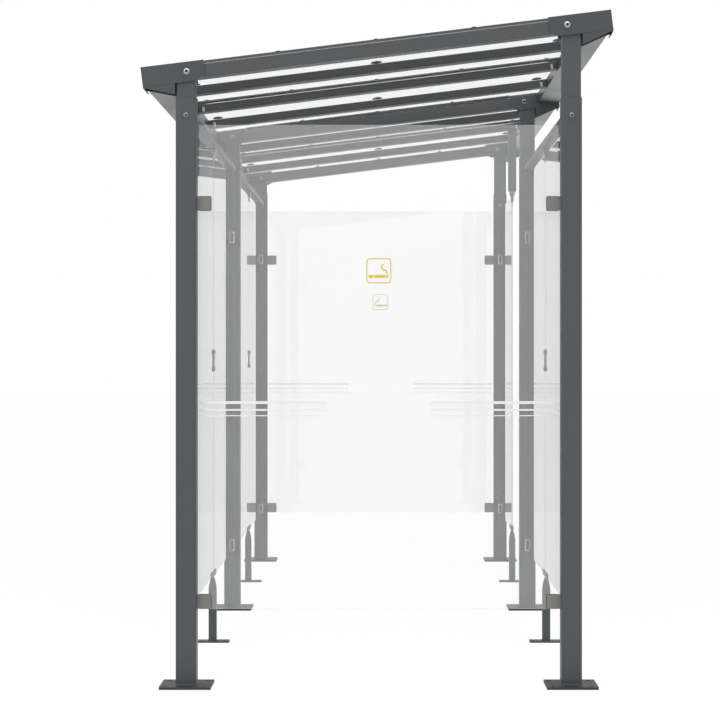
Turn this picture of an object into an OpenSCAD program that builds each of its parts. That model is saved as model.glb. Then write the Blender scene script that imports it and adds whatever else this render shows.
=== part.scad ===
// Smoking shelter, two bays long: steel posts on base plates, clamped glass walls and a
// clear roof that slopes one way.
// X runs across the shelter, from the low side (-X) to the high side (+X).
// Y runs along it, from the near gable (-Y) to the far gable (+Y). Z = 0 is the floor.

/* [Overall] */
// Length of one bay, between post centres
bay_l = 2500; // [2000:10:3200]
// Width of the shelter, between post centres
post_pitch = 1500; // [1200:10:1900]
// Height of the lower posts
post_top = 2295; // [1900:5:2800]
// Height of the roof's middle line over the lower posts' tops
roof_rise = 190; // [180:1:260]
// Slope of the roof, in degrees
roof_tilt = 7; // [3:0.1:10]
// How far the posts stand off the roof's middle, towards the high side
post_shift = 7; // [0:1:15]

/* [Posts] */
// Outside width of the lower posts and of the rafters
post_w = 80; // [60:1:100]
// Wall of the lower posts
post_t = 3; // [2:0.5:5]
// Outer corner radius of the lower posts
post_r = 5; // [4:0.5:8]
// Clearance all round between a lower post and the head that slides in it
slide_gap = 0.5; // [0.3:0.1:1]
// Wall of the post heads
head_t = 3; // [2:0.5:4]
// Outer corner radius of the post heads
head_r = 4; // [3.5:0.5:7]
// How far a post head reaches down into its lower post
head_lap = 200; // [120:5:400]
// Distance of the locking bolt below the lower post's top
lock_drop = 70; // [40:1:110]
// Diameter of the holes for the locking bolts and the arm bolts
bolt_d = 13; // [9:0.5:15]

/* [Base plates] */
// Width of a square base plate
plate_w = 200; // [150:5:260]
// Thickness of a base plate
plate_t = 10; // [6:1:15]
// Corner radius of a base plate
plate_r = 6; // [2:1:15]
// Distance between the anchor holes of a base plate
anchor_pitch = 150; // [120:5:160]
// Diameter of the anchor holes of a base plate
anchor_d = 18; // [12:1:22]

/* [Roof frame] */
// Level of the battens' upper face over the roof's middle line
deck_v = 26; // [20:1:32]
// Distance of the rafters' upper face below the battens' upper face
rafter_drop = 5; // [3:1:8]
// Height of a rafter
rafter_h = 50; // [40:1:60]
// Wall of a rafter
rafter_t = 3; // [2:0.5:4]
// Clearance between a rafter's end and the gutter's inner wall line
rafter_back = 8; // [4:1:20]
// Number of battens in a bay
batten_count = 3; // [1:2:5]
// Width of a batten
batten_w = 80; // [40:1:100]
// Height of a batten
batten_h = 36; // [20:1:45]
// Wall of a batten
batten_t = 2; // [1.5:0.5:3]
// Outer corner radius of rafters, battens, rails and feet
tube_r = 3; // [2.5:0.5:5]
// Clearance left between pieces that are fixed against each other
seat_gap = 0.3; // [0.1:0.1:0.5]

/* [Roof sheets] */
// Thickness of a roof sheet
sheet_t = 8; // [6:1:16]
// Gap between neighbouring roof sheets
sheet_gap = 6; // [4:1:12]
// How far the sheets reach past the gutters' inner walls
sheet_lap = 37; // [25:1:50]
// Width of a cover strip
strip_w = 50; // [40:1:70]
// Thickness of a cover strip
strip_t = 8; // [3:0.5:12]
// Clearance between the sheets, the strips and the arms they run up to
strip_gap = 1; // [0.5:0.5:6]
// Sheet thickness of the edge trims on the gables
trim_t = 1.5; // [1:0.5:3]
// How far an edge trim's lower leg reaches in under the sheet
trim_leg = 10; // [6:1:25]

/* [Arms] */
// Sheet thickness of the arms
arm_t = 5; // [3:0.5:6]
// Distance of the arm bolt from the post's middle line, inwards
bolt_in = 5; // [0:1:12]
// Length of an arm inwards of its bolt
arm_back = 70; // [50:1:90]
// Level of an arm's upper face over the roof's middle line
arm_top_v = 37.5; // [36:0.5:44]
// Distance of the arm band's lower edge below the roof's middle line
arm_low_v = 40; // [32:1:50]
// Distance of the arm tip's lower edge below the roof's middle line
arm_tip_v = 45; // [42:1:52]
// Length of the gusset's level stretch at the arm's tip
gusset_tip = 23; // [12:1:40]
// Distance of the gusset's lowest corner below the roof's middle line
gusset_v = 82; // [60:1:95]
// Depth by which the gusset lies back from the arm's face
gusset_step = 1; // [0.5:0.5:2]
// Gap between the gusset's notch and the post's outer face
notch_gap = 2; // [1:0.5:5]
// Length of the slanted end at the inner foot of an arm
arm_cut = 37; // [20:1:50]
// Height of the slanted end at the inner foot of an arm
arm_cut_h = 15; // [8:1:25]
// Depth of the hooked drip edge under an arm's tip
drip_h = 15; // [8:1:20]

/* [Gutters] */
// Distance of a gutter's inner wall from the posts' outer faces
gutter_off = 23; // [18:1:40]
// Width of a gutter
gutter_w = 108; // [90:1:140]
// Sheet thickness of a gutter
gutter_t = 2; // [1.5:0.5:4]
// Distance of a gutter's bottom below the roof's middle line, at the inner wall
gutter_in_v = 16; // [8:1:22]
// Distance of a gutter's bottom below the roof's middle line, at the outer wall
gutter_out_v = 29; // [24:1:36]
// Width of the flange turned in along a gutter's outer wall
gutter_lip = 22; // [12:1:30]

/* [Glass] */
// Thickness of the glass
glass_t = 8; // [6:0.2:12]
// Height of the panes' lower edges over the floor
glass_z = 301; // [250:1:400]
// Distance of the panes' upper edges below the lower posts' tops
glass_drop = 105; // [90:1:160]
// Gap between a pane and a post, and between two panes
pane_gap = 10; // [6:0.5:16]
// Gap between the glass and the fittings that grip it
grip_gap = 0.3; // [0.2:0.1:0.6]

/* [Clamps] */
// Reach of a clamp from its post
clamp_l = 55; // [40:1:70]
// Height of a clamp
clamp_h = 55; // [40:1:70]
// Outside thickness of a clamp
clamp_t = 23; // [18:1:30]
// Corner radius of a clamp's free corners
clamp_r = 6; // [2:1:12]
// Height of the lower clamps' middle over the panes' lower edges
clamp_low = 29; // [28:1:120]
// Distance of the upper clamps' middle below the panes' upper edges
clamp_high = 306; // [100:1:500]

/* [Rails and holders] */
// Width of a rail, across the shelter
rail_w = 40; // [30:1:50]
// Height of a rail
rail_h = 30; // [20:1:40]
// Wall of a rail
rail_t = 2; // [1.5:0.5:3]
// Height of a rail over the panes' upper edges
rail_gap = 30; // [20:1:40]
// Width of a pane holder where it meets its rail
holder_top_w = 33; // [28:1:38]
// Width of a pane holder just over the glass
holder_low_w = 20; // [18:1:26]
// Length of a pane holder, along the rail
holder_l = 60; // [40:1:100]
// Thickness of a pane holder's jaws
holder_t = 2; // [1.5:0.5:3]
// Depth by which a pane holder grips the glass
holder_grip = 30; // [15:1:45]
// Width of the square drop post beside the doorway
drop_w = 45; // [38:1:55]
// Wall of the drop post
drop_t = 2.5; // [2:0.5:4]

/* [Feet] */
// Width of a foot's plate, across the shelter
foot_plate_w = 150; // [110:5:200]
// Length of a foot's plate, along the shelter
foot_plate_l = 60; // [50:1:90]
// Thickness of a foot's plate
foot_plate_t = 8; // [5:1:12]
// Distance between the two anchor holes of a foot's plate
foot_pitch = 110; // [80:5:130]
// Diameter of the anchor holes of a foot's plate
foot_hole_d = 12; // [9:1:14]
// Width of a foot's square tube
foot_w = 35; // [25:1:45]
// Wall of a foot's tube
foot_t = 2.5; // [2:0.5:4]
// Height of the rounded taper at the top of a foot
foot_cap_h = 69; // [40:1:90]
// Width of a foot's taper where it meets the shoe
foot_tip_w = 8; // [6:1:14]
// Length of the shoe under the panes
shoe_l = 240; // [120:5:320]
// Height of the shoe
shoe_h = 22; // [15:1:35]
// Thickness of the shoe's walls
shoe_t = 3; // [2:0.5:5]
// Thickness of the shoe's bottom
shoe_floor = 4.7; // [3:0.1:8]

/* [Joint plates] */
// Height of the joint plates' middle over the panes' lower edges
joint_z = 966; // [700:1:1200]
// Height of the plates that join two panes
joint_h = 99; // [60:1:140]
// Width of the plates that join two panes
joint_w = 60; // [40:1:90]
// Thickness of the plates that join two panes
joint_t = 3; // [2:0.5:5]
// Diameter of the nuts on the joint plates
nut_d = 24; // [16:1:30]
// Height of the nuts on the joint plates
nut_h = 5; // [3:0.5:8]

/* [Hidden] */

$fn = 48;
low = -1;
high = 1;
near = -1;
mid = 0;
far = 1;
frames = [near, mid, far];
sides = [low, high];
faces = [-1, 1];

// Levels and lines that follow from the sizes above
glass_top = post_top - glass_drop;
glass_h = glass_top - glass_z;
rail_z = glass_top + rail_gap;
roof_h = post_top + roof_rise;
lock_z = post_top - lock_drop;
post_x = post_pitch / 2;
head_w = post_w - 2 * post_t - 2 * slide_gap;
head_z = post_top - head_lap;
rafter_v = deck_v - rafter_drop;
head_top_v = rafter_v - rafter_h - seat_gap;
bolt_u = post_x - bolt_in;
arm_in = bolt_u - arm_back;
gutter_in = post_x + post_w / 2 + gutter_off;
gutter_out = gutter_in + gutter_w;
gutter_fall = (gutter_out_v - gutter_in_v) / gutter_w;
rafter_half = gutter_in - rafter_back;
batten_half = gutter_in - seat_gap;
cheek_in = post_w / 2 + seat_gap;
cheek_out = cheek_in + arm_t;
roof_x = (arm_top_v - arm_tip_v) * sin(roof_tilt) / 2;
sheet_v = deck_v + seat_gap;
sheet_half = gutter_in + sheet_lap;
sheet_end = bay_l + post_w / 2;
strip_v = sheet_v + sheet_t + seat_gap;
pane_l = (bay_l - post_w - 3 * pane_gap) / 2;
gable_w = post_pitch - post_w - 2 * pane_gap;
slot_w = glass_t + 2 * grip_gap;
clamp_z = [glass_z + clamp_low, glass_top - clamp_high];
shoe_z = glass_z - seat_gap - shoe_floor;
cap_z = shoe_z - foot_cap_h;
cap_run = (foot_w - foot_tip_w) / 2;
cap_r = (foot_cap_h * foot_cap_h + cap_run * cap_run) / (2 * cap_run);
cut = 600;

steel = [0.31, 0.33, 0.345];
fitting = [0.45, 0.47, 0.48];
pane = [0.80, 0.87, 0.87, 0.35];
clear = [0.92, 0.94, 0.95, 0.45];

function post_cx(side) = post_shift + side * post_x;
function frame_y(frame) = frame * bay_l;
function bay_mid(bay) = bay * bay_l / 2;

// Where a level line of the roof meets the plane just outside a post, from the roof's middle
function notch_u(side, v) =
    (side * (post_cx(side) - roof_x) + post_w / 2 + notch_gap + side * v * sin(roof_tilt))
    / cos(roof_tilt);

// Places children in the roof's own axes: X up the slope, Z square to the roof
module on_roof() {
    translate([roof_x, 0, roof_h])
        rotate([0, -roof_tilt, 0])
            children();
}

// Turns a roof piece drawn for the high side over to the side asked for
module on_side(side) {
    if (side == high) {
        children();
    } else {
        mirror([1, 0, 0])
            children();
    }
}

// Turns a piece drawn for the near and middle frames round for the far one
module at_frame(frame) {
    translate([0, frame_y(frame), 0]) {
        if (frame == far) {
            mirror([0, 1, 0])
                children();
        } else {
            children();
        }
    }
}

// Stands an outline of X and Z upright and runs it along Y
module along_y(y, len) {
    translate([0, y + len, 0])
        rotate([90, 0, 0])
            linear_extrude(height = len)
                children();
}

// Stands an outline of Y and Z upright and runs it along X
module along_x(x, len) {
    translate([x, 0, 0])
        rotate([90, 0, 90])
            linear_extrude(height = len)
                children();
}

// A hole along Y
module hole_y(d, len) {
    rotate([90, 0, 0])
        cylinder(d = d, h = len, center = true);
}

module rounded(w, h, r) {
    square([w - 2 * r, h], center = true);
    square([w, h - 2 * r], center = true);
    for (x = faces, y = faces)
        translate([x * (w / 2 - r), y * (h / 2 - r)])
            circle(r = r);
}

module tube_outline(w, h, t, r) {
    difference() {
        rounded(w, h, r);
        rounded(w - 2 * t, h - 2 * t, max(r - t, 1));
    }
}

// Lower posts: square tube with a cross hole for the bolt that locks the head
module lower_post(side, frame) {
    color(steel)
        translate([post_cx(side), frame_y(frame), 0])
            difference() {
                translate([0, 0, plate_t])
                    linear_extrude(height = post_top - plate_t)
                        tube_outline(post_w, post_w, post_t, post_r);
                translate([0, 0, lock_z])
                    hole_y(bolt_d, 2 * post_w);
            }
}

// Base plates: one under every post, with four anchor holes
module base_plates() {
    color(steel)
        for (side = sides, frame = frames)
            translate([post_cx(side), frame_y(frame), 0])
                linear_extrude(height = plate_t)
                    difference() {
                        rounded(plate_w, plate_w, plate_r);
                        for (x = faces, y = faces)
                            translate([x * anchor_pitch / 2, y * anchor_pitch / 2])
                                circle(d = anchor_d);
                    }
}

// Post heads: smaller tubes that slide in the posts, cut off along the roof's slope
module post_heads(side) {
    color(steel)
        for (frame = frames)
            translate([0, frame_y(frame), 0])
                difference() {
                    translate([post_cx(side), 0, head_z])
                        linear_extrude(height = roof_h + cut / 2 - head_z)
                            tube_outline(head_w, head_w, head_t, head_r);
                    on_roof()
                        translate([side * post_x, 0, head_top_v + cut / 2])
                            cube(cut, center = true);
                    translate([post_cx(side), 0, lock_z])
                        hole_y(bolt_d, 2 * post_w);
                }
}

// Rafters: one across every frame, resting on the two post heads
module rafter(frame) {
    color(steel)
        on_roof()
            translate([0, frame_y(frame), 0])
                difference() {
                    translate([0, 0, rafter_v - rafter_h / 2])
                        along_x(-rafter_half, 2 * rafter_half)
                            tube_outline(post_w, rafter_h, rafter_t, tube_r);
                    for (side = sides)
                        translate([side * bolt_u, 0, 0])
                            hole_y(bolt_d, 2 * post_w);
                }
}

// Battens: they share a bay evenly and end against the gutters
module battens(bay) {
    step = bay_l / (batten_count + 1);
    color(steel)
        on_roof()
            for (i = [1 : batten_count])
                translate([0, bay_mid(bay) - bay_l / 2 + i * step, deck_v - batten_h / 2])
                    along_x(-batten_half, 2 * batten_half)
                        tube_outline(batten_w, batten_h, batten_t, tube_r);
}

// Side outline of an arm. Its gusset is notched to stand upright beside the post, so the
// notch is worked out for each side from the slope.
module arm_outline(side) {
    polygon([
        [arm_in, arm_top_v], [gutter_out, arm_top_v], [gutter_out, -arm_tip_v],
        [gutter_out - gusset_tip, -arm_tip_v - arm_t],
        [notch_u(side, -gusset_v), -gusset_v], [notch_u(side, -arm_low_v), -arm_low_v],
        [arm_in + arm_cut, -arm_low_v], [arm_in, -arm_low_v + arm_cut_h]
    ]);
}

// An arm: a folded channel that saddles the rafter's end and closes off the gutters. Its
// cheek on the shelter's side starts at the post head, the other one a little before it.
module arm(side) {
    difference() {
        along_y(-cheek_out, 2 * cheek_out)
            arm_outline(side);
        translate([arm_in - 1, -cheek_in, arm_top_v - arm_t - cut])
            cube([gutter_out - arm_t - arm_in + 1, 2 * cheek_in, cut]);
        translate([arm_in - 1, 0, arm_top_v - arm_t - cut])
            cube([arm_cut + 1, post_w, cut]);
        for (face = faces)
            translate([
                gutter_out - gusset_tip - cut / 2,
                face * (cheek_out + arm_t / 2 - gusset_step),
                -arm_low_v - cut / 2
            ])
                cube([cut, arm_t, cut], center = true);
        translate([bolt_u, 0, 0])
            hole_y(bolt_d, 3 * post_w);
    }
    along_y(-cheek_out, 2 * cheek_out)
        polygon([
            [gutter_out, -arm_tip_v + 1], [gutter_out, -arm_tip_v],
            [gutter_out - drip_h * 0.6, -arm_tip_v - drip_h],
            [gutter_out - drip_h * 0.85, -arm_tip_v - drip_h * 0.85],
            [gutter_out - arm_t, -arm_tip_v + 1]
        ]);
}

module arms(side) {
    color(steel)
        on_roof()
            for (frame = frames)
                at_frame(frame)
                    on_side(side)
                        arm(side);
}

// Gutters: folded sheet, hung between two arms under the sheets' edge
module gutter(side, bay) {
    t = gutter_t;
    bottom = t * sqrt(1 + gutter_fall * gutter_fall);
    len = bay_l - 2 * cheek_out - 2 * seat_gap;
    color(steel)
        on_roof()
            on_side(side)
                along_y(bay_mid(bay) - len / 2, len)
                    polygon([
                        [gutter_in, deck_v], [gutter_in, -gutter_in_v],
                        [gutter_out, -gutter_out_v], [gutter_out, arm_top_v],
                        [gutter_out - gutter_lip, arm_top_v], [gutter_out - gutter_lip, arm_top_v - t],
                        [gutter_out - t, arm_top_v - t],
                        [gutter_out - t, -gutter_out_v + gutter_fall * t + bottom],
                        [gutter_in + t, -gutter_in_v - gutter_fall * t + bottom],
                        [gutter_in + t, deck_v]
                    ]);
}

// Roof sheets: each half a bay long, notched round the arms
module roof_sheet(i) {
    y0 = i == 1 ? -sheet_end : (i - 3) * bay_l / 2 + sheet_gap / 2;
    y1 = i == 4 ? sheet_end : (i - 2) * bay_l / 2 - sheet_gap / 2;
    notch_w = 2 * cheek_out + strip_gap;
    color(clear)
        on_roof()
            difference() {
                translate([-sheet_half, y0, sheet_v])
                    cube([2 * sheet_half, y1 - y0, sheet_t]);
                for (side = sides, frame = frames)
                    translate([side * (arm_in - strip_gap + cut / 2), frame_y(frame), sheet_v])
                        cube([cut, notch_w, 4 * sheet_t], center = true);
            }
}

// Cover strips: they press the sheets down along every joint between two sheets
module cover_strip(half_l, y) {
    translate([-half_l, y - strip_w / 2, strip_v])
        cube([2 * half_l, strip_w, strip_t]);
}

// Edge trims: angles that close off the sheets' ends at the gables
module edge_trim(half_l) {
    under_v = sheet_v - seat_gap - trim_t;
    face_y = sheet_end + seat_gap;
    translate([-half_l, face_y, under_v])
        cube([2 * half_l, trim_t, sheet_v + sheet_t - under_v]);
    translate([-half_l, sheet_end - trim_leg, under_v])
        cube([2 * half_l, trim_leg + seat_gap + trim_t, trim_t]);
}

module cover_strips() {
    half_l = arm_in - strip_gap;
    color(steel)
        on_roof() {
            cover_strip(sheet_half, bay_mid(near));
            cover_strip(half_l, frame_y(mid));
            cover_strip(sheet_half, bay_mid(far));
            edge_trim(half_l);
            mirror([0, 1, 0])
                edge_trim(half_l);
        }
}

// Gable panes and side panes
module gable_pane(end) {
    color(pane)
        translate([post_shift, frame_y(end), glass_z + glass_h / 2])
            cube([gable_w, glass_t, glass_h], center = true);
}

// half is -1 for the half of the bay towards the near gable, 1 for the other half
module side_pane(side, bay, half) {
    color(pane)
        translate([post_cx(side), bay_mid(bay) + half * (pane_l + pane_gap) / 2, glass_z + glass_h / 2])
            cube([glass_t, pane_l, glass_h], center = true);
}

// A clamp drawn along +X from a post's face, with the glass between its two jaws
module clamp() {
    difference() {
        along_y(-clamp_t / 2, clamp_t) {
            translate([seat_gap, -clamp_h / 2])
                square([clamp_l - clamp_r - seat_gap, clamp_h]);
            translate([clamp_l / 2, 0])
                rounded(clamp_l - 2 * seat_gap, clamp_h, clamp_r);
        }
        translate([pane_gap - grip_gap, -slot_w / 2, -clamp_h])
            cube([clamp_l, slot_w, 2 * clamp_h]);
    }
}

module gable_clamps(end) {
    color(fitting)
        for (side = sides, z = clamp_z)
            translate([post_cx(side) - side * post_w / 2, frame_y(end), z])
                rotate([0, 0, side == low ? 0 : 180])
                    clamp();
}

// The clamps of one pane sit on the post at the pane's outer edge
module pane_clamps(side, bay, half) {
    for (z = clamp_z)
        translate([post_cx(side), bay_mid(bay) + half * (bay_l - post_w) / 2, z])
            rotate([0, 0, -half * 90])
                clamp();
}

module side_clamps_low() {
    color(fitting)
        for (bay = [near, far], half = faces)
            pane_clamps(low, bay, half);
}

module side_clamps_high() {
    color(fitting) {
        pane_clamps(high, near, -1);
        pane_clamps(high, near, 1);
        pane_clamps(high, far, 1);
    }
}

// Rails: one over the side panes of a bay, between the lower posts
module rail(side, bay) {
    len = bay_l - post_w - 2 * seat_gap;
    color(steel)
        translate([post_cx(side), 0, rail_z + rail_h / 2])
            along_y(bay_mid(bay) - len / 2, len)
                tube_outline(rail_w, rail_h, rail_t, tube_r);
}

module rails_low() {
    rail(low, near);
    rail(low, far);
}

// A pane holder narrows from the rail down to two thin jaws over the panes' upper edges
module pane_holder(side, bay) {
    jaw_w = slot_w + 2 * holder_t;
    jaw_z = glass_top - holder_grip;
    neck_z = glass_top - (holder_low_w - jaw_w) / 2;
    translate([post_cx(side), 0, 0])
        along_y(bay_mid(bay) - holder_l / 2, holder_l)
            difference() {
                polygon([
                    [-holder_top_w / 2, rail_z - seat_gap], [-holder_low_w / 2, glass_top],
                    [-jaw_w / 2, neck_z], [-jaw_w / 2, jaw_z],
                    [jaw_w / 2, jaw_z], [jaw_w / 2, neck_z],
                    [holder_low_w / 2, glass_top], [holder_top_w / 2, rail_z - seat_gap]
                ]);
                translate([-slot_w / 2, jaw_z - holder_grip])
                    square([slot_w, 2 * holder_grip + grip_gap]);
            }
}

module pane_holders() {
    color(fitting) {
        pane_holder(low, near);
        pane_holder(low, far);
        pane_holder(high, near);
        pane_holder(high, far);
    }
}

// Drop post: it hangs from a batten and stands on the holder beside the doorway
module drop_post() {
    color(steel)
        difference() {
            translate([post_cx(high), bay_mid(far), rail_z]) {
                linear_extrude(height = roof_h + cut / 2 - rail_z)
                    tube_outline(drop_w, drop_w, drop_t, tube_r);
                linear_extrude(height = drop_t)
                    rounded(drop_w, drop_w, tube_r);
            }
            on_roof()
                translate([post_x, bay_mid(far), deck_v - batten_h - seat_gap + cut / 2])
                    cube(cut, center = true);
        }
}

// Side outline of a foot's taper: two large circles cut out between them a pointed arch
module cap_outline() {
    intersection() {
        cap_circle(-1);
        cap_circle(1);
        translate([-foot_w / 2, 0])
            square([foot_w, foot_cap_h]);
    }
}

module cap_circle(face) {
    translate([face * (cap_r - foot_w / 2), 0])
        circle(r = cap_r, $fn = 180);
}

// A foot: plate, square tube, rounded taper, and the shoe under the panes' lower edges
module foot(side, bay, shoe_from) {
    shoe_w = slot_w + 2 * shoe_t;
    translate([post_cx(side), bay_mid(bay), 0]) {
        linear_extrude(height = foot_plate_t)
            difference() {
                rounded(foot_plate_w, foot_plate_l, plate_r);
                for (x = faces)
                    translate([x * foot_pitch / 2, 0])
                        circle(d = foot_hole_d);
            }
        translate([0, 0, foot_plate_t])
            linear_extrude(height = cap_z - foot_plate_t)
                tube_outline(foot_w, foot_w, foot_t, tube_r);
        translate([0, 0, cap_z])
            along_y(-foot_w / 2, foot_w)
                cap_outline();
        difference() {
            translate([-shoe_w / 2, shoe_from, shoe_z])
                cube([shoe_w, shoe_l / 2 - shoe_from, shoe_h]);
            translate([-slot_w / 2, -shoe_l, shoe_z + shoe_floor])
                cube([slot_w, 2 * shoe_l, shoe_h]);
        }
    }
}

module feet_low() {
    color(steel)
        for (bay = [near, far])
            foot(low, bay, -shoe_l / 2);
}

module feet_high() {
    color(steel) {
        foot(high, near, -shoe_l / 2);
        foot(high, far, -foot_w / 2);
    }
}

// Joint plates: two plates and a web that hold neighbouring panes in line at half height
module joint_plate(side, bay) {
    web_w = pane_gap - 2 * grip_gap;
    translate([post_cx(side), bay_mid(bay), glass_z + joint_z]) {
        cube([slot_w + joint_t, web_w, joint_h], center = true);
        for (face = faces) {
            translate([face * (slot_w + joint_t) / 2, 0, 0])
                cube([joint_t, joint_w, joint_h], center = true);
            for (z = faces)
                translate([face * (slot_w / 2 + joint_t), 0, z * (joint_h - nut_d) / 2])
                    rotate([0, face * 90, 0])
                        cylinder(d1 = nut_d, d2 = nut_d * 0.6, h = nut_h);
        }
    }
}

module joint_plates() {
    color(fitting) {
        joint_plate(low, near);
        joint_plate(low, far);
        joint_plate(high, near);
    }
}

lower_post(low, near);  // post_low_near
lower_post(low, mid);  // post_low_mid
lower_post(low, far);  // post_low_far
lower_post(high, near);  // post_high_near
lower_post(high, mid);  // post_high_mid
lower_post(high, far);  // post_high_far
base_plates();
post_heads(low);  // post_heads_low
post_heads(high);  // post_heads_high
arms(low);  // arms_low
arms(high);  // arms_high
rafter(near);  // rafter_near
rafter(mid);  // rafter_mid
rafter(far);  // rafter_far
battens(near);  // battens_near_bay
battens(far);  // battens_far_bay
gutter(low, near);  // gutter_low_near
gutter(low, far);  // gutter_low_far
gutter(high, near);  // gutter_high_near
gutter(high, far);  // gutter_high_far
roof_sheet(1);  // roof_sheet_1
roof_sheet(2);  // roof_sheet_2
roof_sheet(3);  // roof_sheet_3
roof_sheet(4);  // roof_sheet_4
cover_strips();
gable_pane(near);  // gable_glass_near
gable_pane(far);  // gable_glass_far
side_pane(low, near, -1);  // glass_low_1
side_pane(low, near, 1);  // glass_low_2
side_pane(low, far, -1);  // glass_low_3
side_pane(low, far, 1);  // glass_low_4
side_pane(high, near, -1);  // glass_high_1
side_pane(high, near, 1);  // glass_high_2
side_pane(high, far, 1);  // glass_high_3
rails_low();
rail(high, near);  // rail_high
drop_post();
pane_holders();
gable_clamps(near);  // gable_clamps_near
gable_clamps(far);  // gable_clamps_far
side_clamps_low();
side_clamps_high();
feet_low();
feet_high();
joint_plates();
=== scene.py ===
import math

import bmesh
import bpy
from mathutils import Matrix, Vector


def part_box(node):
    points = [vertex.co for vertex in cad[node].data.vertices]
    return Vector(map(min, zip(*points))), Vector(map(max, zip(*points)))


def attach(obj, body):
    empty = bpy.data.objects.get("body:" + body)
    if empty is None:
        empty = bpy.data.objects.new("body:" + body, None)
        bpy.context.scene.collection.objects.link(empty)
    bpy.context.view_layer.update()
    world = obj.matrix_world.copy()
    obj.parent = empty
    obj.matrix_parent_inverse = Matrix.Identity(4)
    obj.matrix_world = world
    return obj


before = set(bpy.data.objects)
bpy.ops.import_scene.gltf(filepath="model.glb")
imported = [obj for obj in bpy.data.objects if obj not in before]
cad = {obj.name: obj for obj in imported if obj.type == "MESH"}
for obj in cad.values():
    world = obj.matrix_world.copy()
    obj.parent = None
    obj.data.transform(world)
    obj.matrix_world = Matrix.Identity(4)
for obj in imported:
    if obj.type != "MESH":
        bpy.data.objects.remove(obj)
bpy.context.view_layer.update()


# Lower posts and base plates: 80 mm square steel tube stood on 10 mm plate, welded all
# round the foot, then powder-coated in dark grey as one piece. The plates' coat is painted
# far darker than the posts', as painted shade at the floor. The weld is left as it was laid,
# a ripple bead about 5 mm wide, painted near-black as the shade where post meets plate.
mm = 0.001
frame_names = ("near", "mid", "far")
side_names = ("low", "high")
post_steel = (0.046, 0.053, 0.058, 1)
post_steel_light = (0.052, 0.060, 0.065, 1)
# Plate and weld tones are near-black painted shade, not another paint.
plate_painted_shade = (0.014, 0.016, 0.017, 1)
plate_painted_shade_pale = (0.022, 0.025, 0.027, 1)
weld_painted_shade = (0.014, 0.016, 0.017, 1)
weld_painted_shade_pale = (0.022, 0.025, 0.027, 1)
bead_width = 5 * mm
tube_corner = 5 * mm


def centre(node):
    low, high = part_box(node)
    return (low + high) / 2


def put(tree, kind, *values, options=None, **sockets):
    """Puts a node in a tree. A socket takes a plain value or a link from another node."""
    made = tree.nodes.new("ShaderNode" + kind)
    for name, value in (options or {}).items():
        setattr(made, name, value)
    given = list(enumerate(values)) + [(k.replace("_", " "), v) for k, v in sockets.items()]
    for key, value in given:
        if isinstance(value, bpy.types.NodeSocket):
            tree.links.new(value, made.inputs[key])
        else:
            made.inputs[key].default_value = value
    return made


def two_tone(tree, share, one, other):
    """One colour where share is 0 and the other where it is 1.

    A Mix node has its factor in socket 0, its two colours in 6 and 7, and its colour out in 2.
    """
    made = tree.nodes.new("ShaderNodeMix")
    made.data_type = "RGBA"
    sockets = (made.inputs[0], made.inputs[6], made.inputs[7])
    for socket, value in zip(sockets, (share, one, other)):
        if isinstance(value, bpy.types.NodeSocket):
            tree.links.new(value, socket)
        else:
            socket.default_value = value
    return made.outputs[2]


def new_effect(name, inputs, outputs):
    """A node group with its sockets made, and its two end nodes."""
    group = bpy.data.node_groups.new(name, "ShaderNodeTree")
    for sockets, way in ((inputs, "INPUT"), (outputs, "OUTPUT")):
        for label, kind in sockets:
            group.interface.new_socket(label, in_out=way, socket_type="NodeSocket" + kind)
    return group, group.nodes.new("NodeGroupInput"), group.nodes.new("NodeGroupOutput")


def effect(tree, group, **sockets):
    """Places an effect in a material."""
    return put(tree, "Group", options={"node_tree": group}, **sockets)


def new_finish(name):
    """A material with its node tree, its shader and the place on the shelter."""
    finish = bpy.data.materials.new(name)
    finish.use_nodes = True
    tree = finish.node_tree
    place = tree.nodes.new("ShaderNodeTexCoord").outputs["Object"]
    return finish, tree, tree.nodes["Principled BSDF"], place


# Powder coat: broad, faint drift of tone, and the fine orange peel of a baked powder.
powder, inside, outside = new_effect(
    "powder", [("Place", "Vector"), ("Sheen", "Float")],
    [("Drift", "Float"), ("Peel", "Float"), ("Matt", "Float")],
)
drift = put(powder, "TexNoise", Vector=inside.outputs["Place"], Scale=2.2, Detail=3.0)
peel = put(
    powder, "TexNoise", Vector=inside.outputs["Place"], Scale=620.0, Detail=2.0, Roughness=0.4
)
cloudy = put(powder, "MapRange", drift.outputs["Fac"], 0.3, 0.7, 0.0, 0.08)
matt = put(
    powder, "Math", cloudy.outputs["Result"], inside.outputs["Sheen"], options={"operation": "ADD"}
)
powder.links.new(drift.outputs["Fac"], outside.inputs["Drift"])
powder.links.new(peel.outputs["Fac"], outside.inputs["Peel"])
powder.links.new(matt.outputs[0], outside.inputs["Matt"])


def powder_coat(name, tone, tone_light, sheen=0.44, ripple=0):
    """A powder-coated finish. A weld also shows its ripples through the coat."""
    finish, tree, shader, place = new_finish(name)
    grain = effect(tree, powder, Place=place, Sheen=sheen)
    tone = two_tone(tree, grain.outputs["Drift"], tone, tone_light)
    tree.links.new(tone, shader.inputs["Base Color"])
    tree.links.new(grain.outputs["Matt"], shader.inputs["Roughness"])
    relief = put(tree, "Bump", Height=grain.outputs["Peel"], Strength=0.12, Distance=0.3 * mm)
    if ripple:
        beads = put(
            tree, "TexWave", Vector=place, Scale=ripple, Distortion=1.5, Detail=1.0,
            options={"bands_direction": "DIAGONAL"},
        )
        relief = put(
            tree, "Bump", Height=beads.outputs["Fac"], Strength=0.5, Distance=1.2 * mm,
            Normal=relief.outputs["Normal"],
        )
    tree.links.new(relief.outputs["Normal"], shader.inputs["Normal"])
    return finish


def dress(finish, *nodes):
    """Gives CAD nodes their finish."""
    for node in nodes:
        for slot in cad[node].material_slots:
            slot.material = finish


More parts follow.
